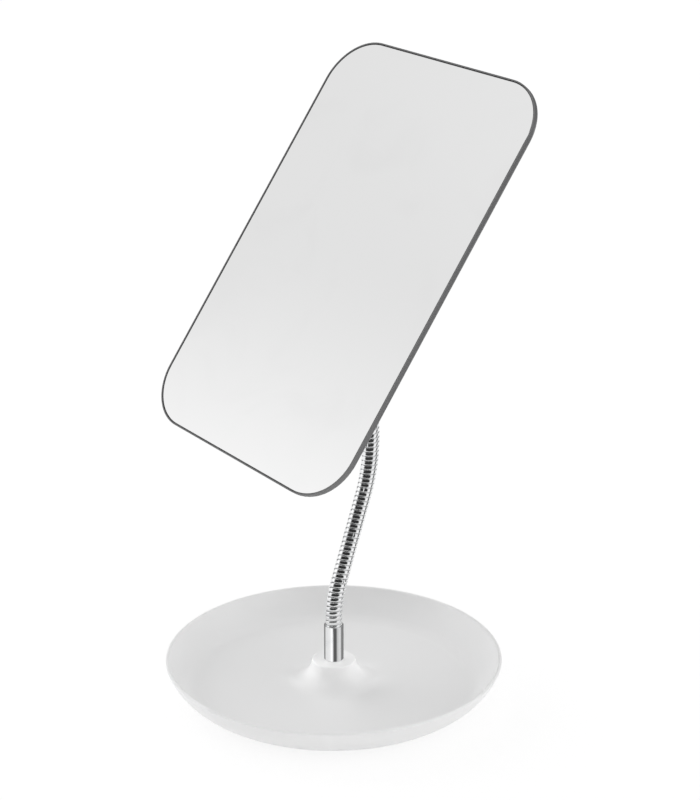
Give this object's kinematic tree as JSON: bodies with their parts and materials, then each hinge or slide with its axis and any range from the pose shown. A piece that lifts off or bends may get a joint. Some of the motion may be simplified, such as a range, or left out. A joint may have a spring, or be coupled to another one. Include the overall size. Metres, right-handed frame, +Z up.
{
  "type": "vanity mirror",
  "caption": "Rounded rectangular table mirror on a bendable wound neck with a ball joint, over a round dish base that holds small things.",
  "frame": {"origin": "centre of the base underside, on the table", "axes": "+Z up; the glass looks towards -Y; +X is to the right seen from the front"},
  "size_m": [0.1616, 0.1616, 0.301],
  "materials": {
    "white_plastic": "satin",
    "grey_plastic": "fine matt",
    "chrome": "polished",
    "steel": "plain",
    "nylon": "smooth",
    "foam": "closed cell foam",
    "mirror": "polished"
  },
  "bodies": {
    "base": {"base_tray": "white_plastic", "base_weight": "steel", "weight_tape": "foam", "foot_pad": "foam", "lower_ferrule": "chrome", "neck_stud": "steel", "neck_washer": "steel", "lock_washer": "steel", "neck_nut": "steel", "neck_core_0": "steel", "neck_winding": "chrome"},
    "neck_1": {"neck_core_1": "steel"},
    "neck_2": {"neck_core_2": "steel"},
    "neck_3": {"neck_core_3": "steel"},
    "neck_4": {"neck_core_4": "steel"},
    "neck_5": {"neck_core_5": "steel"},
    "neck_6": {"neck_core_6": "steel", "upper_ferrule": "chrome", "ball_stud": "chrome"},
    "ball": {"ball": "chrome"},
    "liner": {"ball_liner": "nylon"},
    "head": {"socket_housing": "grey_plastic", "socket_collar": "grey_plastic", "socket_screws": "steel", "back_shell": "grey_plastic", "foam_tape": "foam", "mirror_glass": "mirror"}
  },
  "joints": [
    {"name": "neck_nod_1", "type": "hinge", "parent": "base", "child": "neck_1", "pos_m": [0, 0.00087, 0.04419], "axis": [1, 0, 0], "range_deg": [-20, 20], "deforming": ["neck_winding"]},
    {"name": "neck_side_1", "type": "hinge", "parent": "neck_1", "child": "neck_2", "pos_m": [0, 0.008, 0.06547], "axis": [0, 0.9272, -0.3746], "range_deg": [-20, 20], "deforming": ["neck_winding"]},
    {"name": "neck_nod_2", "type": "hinge", "parent": "neck_2", "child": "neck_3", "pos_m": [0, 0.01643, 0.08632], "axis": [1, 0, 0], "range_deg": [-20, 20], "deforming": ["neck_winding"]},
    {"name": "neck_side_2", "type": "hinge", "parent": "neck_3", "child": "neck_4", "pos_m": [0, 0.02343, 0.10764], "axis": [0, 0.9828, -0.1845], "range_deg": [-20, 20], "deforming": ["neck_winding"]},
    {"name": "neck_nod_3", "type": "hinge", "parent": "neck_4", "child": "neck_5", "pos_m": [0, 0.02428, 0.13003], "axis": [1, 0, 0], "range_deg": [-20, 20], "deforming": ["neck_winding"]},
    {"name": "neck_side_3", "type": "hinge", "parent": "neck_5", "child": "neck_6", "pos_m": [0, 0.01855, 0.1517], "axis": [0, 0.9186, 0.3952], "range_deg": [-20, 20], "deforming": ["neck_winding"]},
    {"name": "head_spin", "type": "hinge", "parent": "neck_6", "child": "ball", "pos_m": [0, -0.00002, 0.18395], "axis": [0, -0.515, 0.8572], "continuous": true},
    {"name": "head_tilt", "type": "hinge", "parent": "ball", "child": "liner", "pos_m": [0, -0.00002, 0.18395], "axis": [1, 0, 0], "range_deg": [-60, 10]},
    {"name": "head_swing", "type": "hinge", "parent": "liner", "child": "head", "pos_m": [0, -0.00002, 0.18395], "axis": [0, 0.5548, 0.832], "range_deg": [-18, 18]}
  ]
}
